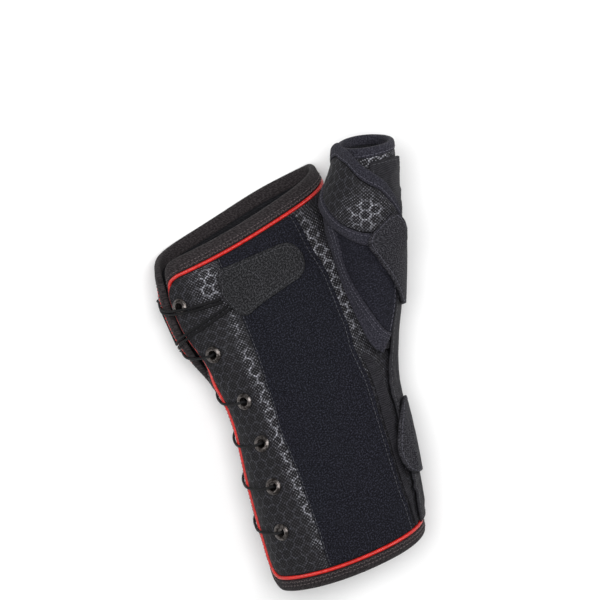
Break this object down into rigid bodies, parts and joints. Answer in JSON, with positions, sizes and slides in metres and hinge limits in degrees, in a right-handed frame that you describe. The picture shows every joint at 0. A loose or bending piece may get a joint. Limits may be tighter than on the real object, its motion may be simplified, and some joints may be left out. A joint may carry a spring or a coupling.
{
  "type": "thumb spica splint",
  "caption": "Padded right-hand wrist and thumb splint with a laced little-finger side, a thumb sleeve with a hook-and-loop strap, and red piping.",
  "frame": {"origin": "middle of the flat strip that the back of the splint rests on, below the wrist", "axes": "+Z away from the resting face, towards the palm side; +Y from the wrist towards the fingers; +X towards the thumb"},
  "size_m": [0.1444, 0.2196, 0.0688],
  "materials": {
    "print_cloth": "black knit over padding with a glossy dotted honeycomb print",
    "loop_cloth": "matt black loop velour",
    "rib_cloth": "finely ribbed charcoal stretch cloth",
    "edge_tape": "brown-black folded binding tape, zigzag stitched",
    "thumb_tape": "blue-grey folded binding tape, stitched",
    "hook_cloth": "charcoal hook tape, felt-like",
    "red_piping": "satin red piping",
    "gunmetal": "rolled gunmetal eyelet",
    "lace_cord": "round braided black lace"
  },
  "bodies": {
    "root": {"palmar_panel": "print_cloth", "dorsal_panel": "print_cloth", "palmar_binding": "edge_tape", "dorsal_binding": "edge_tape", "palmar_piping": "red_piping", "dorsal_piping": "red_piping", "palmar_loop_panel": "loop_cloth", "radial_rib_panel": "rib_cloth", "thumb_sleeve": "print_cloth", "thumb_sleeve_binding": "thumb_tape", "radial_stay_cover": "rib_cloth", "thenar_flap": "loop_cloth", "thenar_flap_binding": "thumb_tape", "thumb_strap": "print_cloth", "thumb_strap_lower_binding": "thumb_tape", "thumb_strap_upper_binding": "thumb_tape", "thumb_tab": "hook_cloth", "forearm_tab": "hook_cloth", "pull_tab": "hook_cloth", "palmar_eyelet_1": "gunmetal", "dorsal_eyelet_1": "gunmetal", "palmar_eyelet_2": "gunmetal", "dorsal_eyelet_2": "gunmetal", "palmar_eyelet_3": "gunmetal", "dorsal_eyelet_3": "gunmetal", "palmar_eyelet_4": "gunmetal", "dorsal_eyelet_4": "gunmetal", "palmar_eyelet_5": "gunmetal", "dorsal_eyelet_5": "gunmetal", "palmar_eyelet_6": "gunmetal", "dorsal_eyelet_6": "gunmetal", "main_lace": "lace_cord", "loop_lace": "lace_cord", "end_lace": "lace_cord"}
  },
  "joints": []
}
